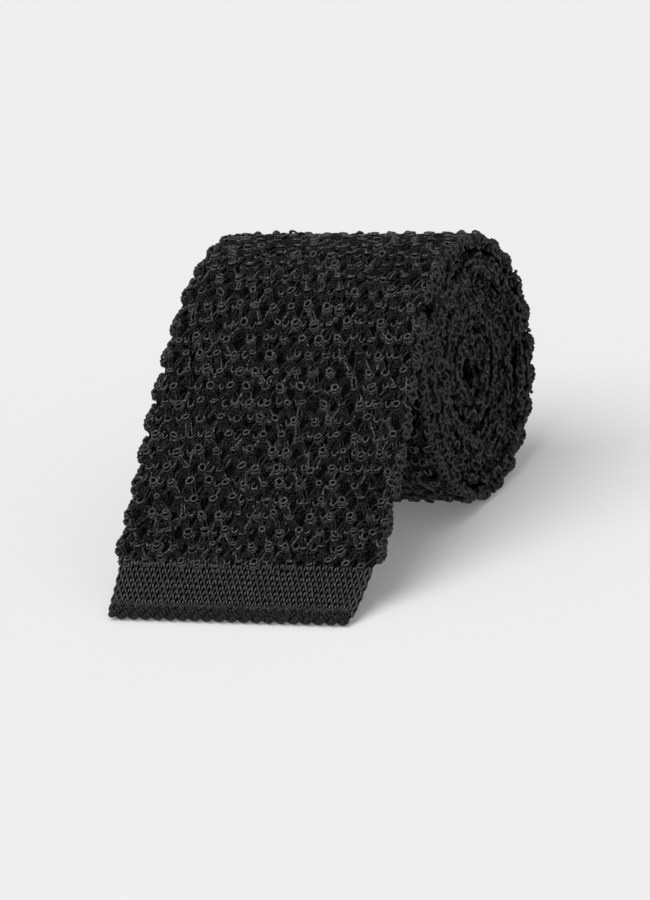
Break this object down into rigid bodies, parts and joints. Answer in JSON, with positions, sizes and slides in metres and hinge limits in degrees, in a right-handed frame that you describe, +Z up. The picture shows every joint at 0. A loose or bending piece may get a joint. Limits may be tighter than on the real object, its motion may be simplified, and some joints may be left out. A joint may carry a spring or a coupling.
{
  "type": "knitted necktie",
  "caption": "Square-ended knitted necktie rolled up for storage, its front blade sloping forward off the roll with a plain knit band at the tip.",
  "frame": {"origin": "centre of the footprint, on the table the roll rests on", "axes": "+X across the tie, along the roll's axis; -Y towards the blade's tip; +Z up"},
  "size_m": [0.062, 0.1009, 0.0577],
  "materials": {
    "open_knit": "black silk yarn, openly knitted in raised loops",
    "plain_knit": "black silk yarn, plain fine knitting",
    "edge_cord": "black silk yarn, bound edge",
    "ribbon": "black woven ribbon, slight lustre",
    "thread": "black sewing thread",
    "label_cloth": "blank woven label, charcoal"
  },
  "bodies": {
    "roll": {"blade_wound": "open_knit", "blade_taper": "open_knit", "neck": "open_knit", "tail_flare": "open_knit", "tail_blade": "open_knit", "tail_band": "plain_knit", "tail_edge": "edge_cord", "blade_turn_00": "open_knit", "keeper_loop": "ribbon", "keeper_tack_left": "thread", "keeper_tack_right": "thread", "label": "label_cloth"},
    "turn_01": {"blade_turn_01": "open_knit"},
    "turn_02": {"blade_turn_02": "open_knit"},
    "turn_03": {"blade_turn_03": "open_knit"},
    "turn_04": {"blade_turn_04": "open_knit"},
    "turn_05": {"blade_turn_05": "open_knit"},
    "turn_06": {"blade_turn_06": "open_knit"},
    "turn_07": {"blade_turn_07": "open_knit"},
    "turn_08": {"blade_turn_08": "open_knit"},
    "fall_01": {"blade_fall_01": "open_knit"},
    "fall_02": {"blade_fall_02": "open_knit"},
    "fall_03": {"blade_fall_03": "open_knit"},
    "tip": {"tip_band": "plain_knit", "tip_edge": "edge_cord"}
  },
  "joints": [
    {"name": "unroll_turn_01", "type": "hinge", "parent": "roll", "child": "turn_01", "pos_m": [0, 0.02125, 0], "axis": [-1, 0, 0], "range_deg": [0, 8.08]},
    {"name": "unroll", "type": "hinge", "parent": "turn_01", "child": "turn_02", "pos_m": [0, 0.03499, 0.00307], "axis": [-1, 0, 0], "range_deg": [0, 33.45]},
    {"name": "unroll_turn_03", "type": "hinge", "parent": "turn_02", "child": "turn_03", "pos_m": [0, 0.04556, 0.0126], "axis": [-1, 0, 0], "range_deg": [0, 30.2]},
    {"name": "unroll_turn_04", "type": "hinge", "parent": "turn_03", "child": "turn_04", "pos_m": [0, 0.05028, 0.0261], "axis": [-1, 0, 0], "range_deg": [0, 29.17]},
    {"name": "unroll_turn_05", "type": "hinge", "parent": "turn_04", "child": "turn_05", "pos_m": [0, 0.04793, 0.04027], "axis": [-1, 0, 0], "range_deg": [0, 29.13]},
    {"name": "unroll_turn_06", "type": "hinge", "parent": "turn_05", "child": "turn_06", "pos_m": [0, 0.03906, 0.0516], "axis": [-1, 0, 0], "range_deg": [0, 29.1]},
    {"name": "unroll_turn_07", "type": "hinge", "parent": "turn_06", "child": "turn_07", "pos_m": [0, 0.02583, 0.05732], "axis": [-1, 0, 0], "range_deg": [0, 29.07]},
    {"name": "unroll_turn_08", "type": "hinge", "parent": "turn_07", "child": "turn_08", "pos_m": [0, 0.01147, 0.05601], "axis": [-1, 0, 0], "range_deg": [0, 29.03]},
    {"name": "unroll_fall_01", "type": "hinge", "parent": "turn_08", "child": "fall_01", "pos_m": [0, -0.00052, 0.048], "axis": [-1, 0, 0], "range_deg": [0, 14.65]},
    {"name": "unroll_fall_02", "type": "hinge", "parent": "fall_01", "child": "fall_02", "pos_m": [0, -0.01098, 0.03269], "axis": [-1, 0, 0], "range_deg": [-1.94, 0]},
    {"name": "unroll_fall_03", "type": "hinge", "parent": "fall_02", "child": "fall_03", "pos_m": [0, -0.02368, 0.01934], "axis": [-1, 0, 0], "range_deg": [-5.63, 0]},
    {"name": "unroll_tip", "type": "hinge", "parent": "fall_03", "child": "tip", "pos_m": [0, -0.03759, 0.00711], "axis": [-1, 0, 0], "range_deg": [-9.96, 0]}
  ],
  "couplings": [
    {"joint": "unroll_turn_01", "follows": "unroll", "ratio": 0.22667},
    {"joint": "unroll_turn_03", "follows": "unroll", "ratio": 0.88797},
    {"joint": "unroll_turn_04", "follows": "unroll", "ratio": 0.85699},
    {"joint": "unroll_turn_05", "follows": "unroll", "ratio": 0.85595},
    {"joint": "unroll_turn_06", "follows": "unroll", "ratio": 0.85494},
    {"joint": "unroll_turn_07", "follows": "unroll", "ratio": 0.85393},
    {"joint": "unroll_turn_08", "follows": "unroll", "ratio": 0.85294},
    {"joint": "unroll_fall_01", "follows": "unroll", "ratio": 0.42311},
    {"joint": "unroll_fall_02", "follows": "unroll", "ratio": -0.0429},
    {"joint": "unroll_fall_03", "follows": "unroll", "ratio": -0.15347},
    {"joint": "unroll_tip", "follows": "unroll", "ratio": -0.2827}
  ]
}
